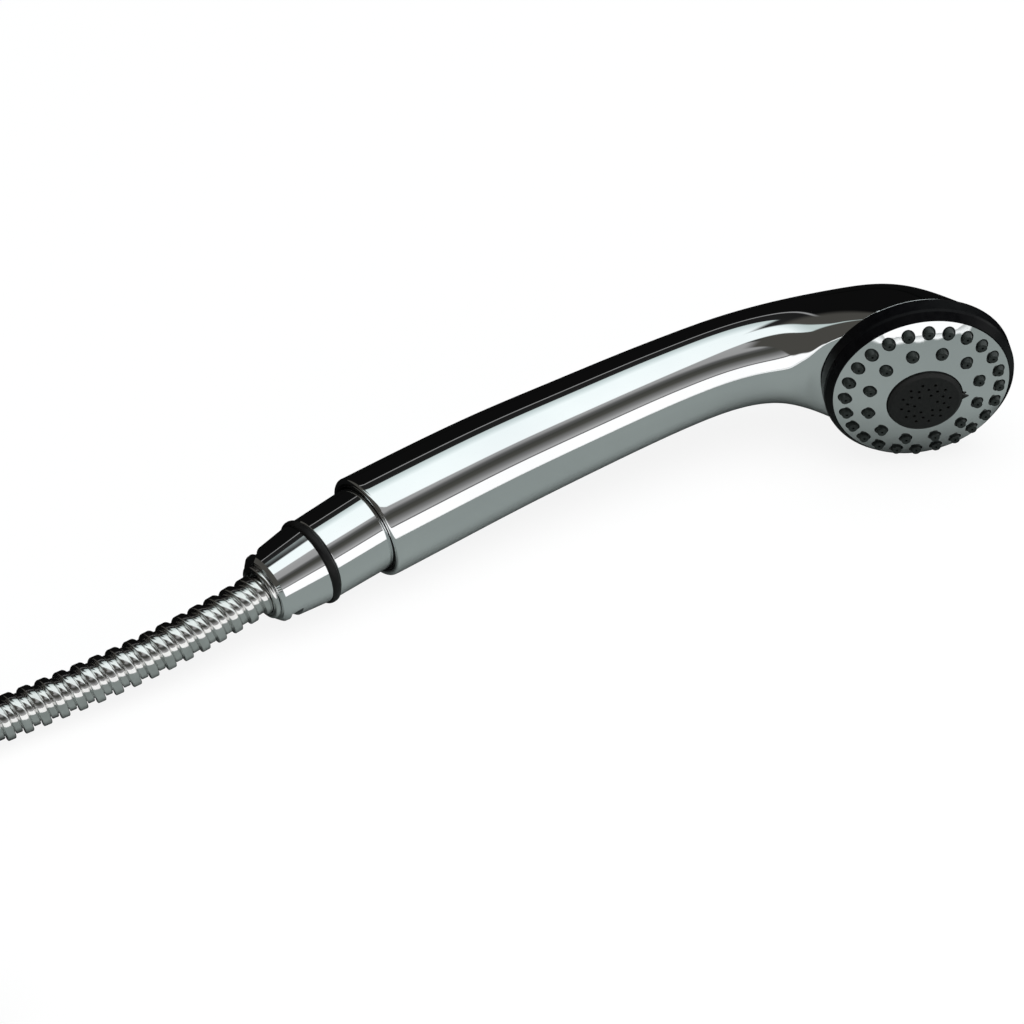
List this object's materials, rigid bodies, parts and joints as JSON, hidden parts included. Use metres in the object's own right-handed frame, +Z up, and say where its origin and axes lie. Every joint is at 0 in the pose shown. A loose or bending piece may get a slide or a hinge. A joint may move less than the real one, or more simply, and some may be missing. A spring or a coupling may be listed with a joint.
{
  "type": "handheld shower head",
  "caption": "Handheld shower head: a bent one-piece chrome handle with a turning spray face, a swivelling collar with a check valve, and a coiled metal hose that ends in a hexagon nut.",
  "frame": {"origin": "under the middle of the handset, on the surface it lies on", "axes": "+X runs along the handle from the hose to the head, the spray face looks to -Y, +Z is up"},
  "size_m": [0.5553, 0.1548, 0.0633],
  "materials": {
    "chrome": "polished chrome plating",
    "hose_steel": "polished stainless steel double-lock strip",
    "spring_steel": "plain stainless steel",
    "black_rubber": "matte black rubber",
    "nozzle_rubber": "dark grey-green silicone",
    "grip_plastic": "satin black moulded plastic",
    "disc_plastic": "fine-textured charcoal plastic",
    "inner_plastic": "natural acetal",
    "valve_plastic": "moulded blue-grey plastic",
    "brass": "turned brass",
    "tie_plastic": "woven black strap"
  },
  "bodies": {
    "handset": {"handle_shell": "chrome", "rim_seal": "black_rubber", "inlet_body": "inner_plastic", "water_tube": "inner_plastic", "distribution_core": "inner_plastic", "core_cover": "inner_plastic", "cover_screws": "spring_steel", "cover_seal": "black_rubber", "face_seal": "black_rubber", "port_seals": "black_rubber", "click_spring": "spring_steel", "jet_disc": "disc_plastic", "centre_screw": "spring_steel", "hose_tail": "brass", "hose_sleeve": "hose_steel", "hose": "hose_steel", "hose_coil": "hose_steel", "hose_coil_top": "hose_steel", "coil_tie": "tie_plastic", "end_sleeve": "hose_steel", "end_tail": "brass", "end_washer": "black_rubber"},
    "spray_face": {"grip_ring": "grip_plastic", "face_plate": "chrome", "nozzle_mat": "nozzle_rubber"},
    "collar": {"swivel_collar": "chrome", "stem_o_rings": "black_rubber", "stem_circlip": "spring_steel", "collar_ring": "black_rubber", "valve_body": "valve_plastic", "valve_spring": "spring_steel", "flow_limiter": "valve_plastic", "hose_washer": "black_rubber"},
    "poppet": {"valve_poppet": "valve_plastic"},
    "cone_nut": {"hose_nut": "chrome"},
    "tap_nut": {"end_nut": "chrome"}
  },
  "joints": [
    {"name": "spray_select", "type": "hinge", "parent": "handset", "child": "spray_face", "pos_m": [0.09216, -0.03684, 0.03143], "axis": [-0.5282, -0.848, -0.0427], "range_deg": [-45, 45]},
    {"name": "collar_swivel", "type": "hinge", "parent": "handset", "child": "collar", "pos_m": [-0.07888, 0.03616, 0.01759], "axis": [0.9967, 0, 0.0806], "continuous": true},
    {"name": "poppet_slide", "type": "slide", "parent": "collar", "child": "poppet", "axis": [0.9967, 0, 0.0806], "range_m": [0, 0.0025], "stiffness_N_per_m": 40, "springref_m": -0.002, "deforming": ["valve_spring"]},
    {"name": "cone_nut_turn", "type": "hinge", "parent": "collar", "child": "cone_nut", "pos_m": [-0.11277, 0.03616, 0.01485], "axis": [0.9967, 0, 0.0806], "continuous": true},
    {"name": "tap_nut_turn", "type": "hinge", "parent": "handset", "child": "tap_nut", "pos_m": [-0.28386, -0.03825, 0.0433], "axis": [0.4695, 0.8829, 0], "continuous": true}
  ]
}
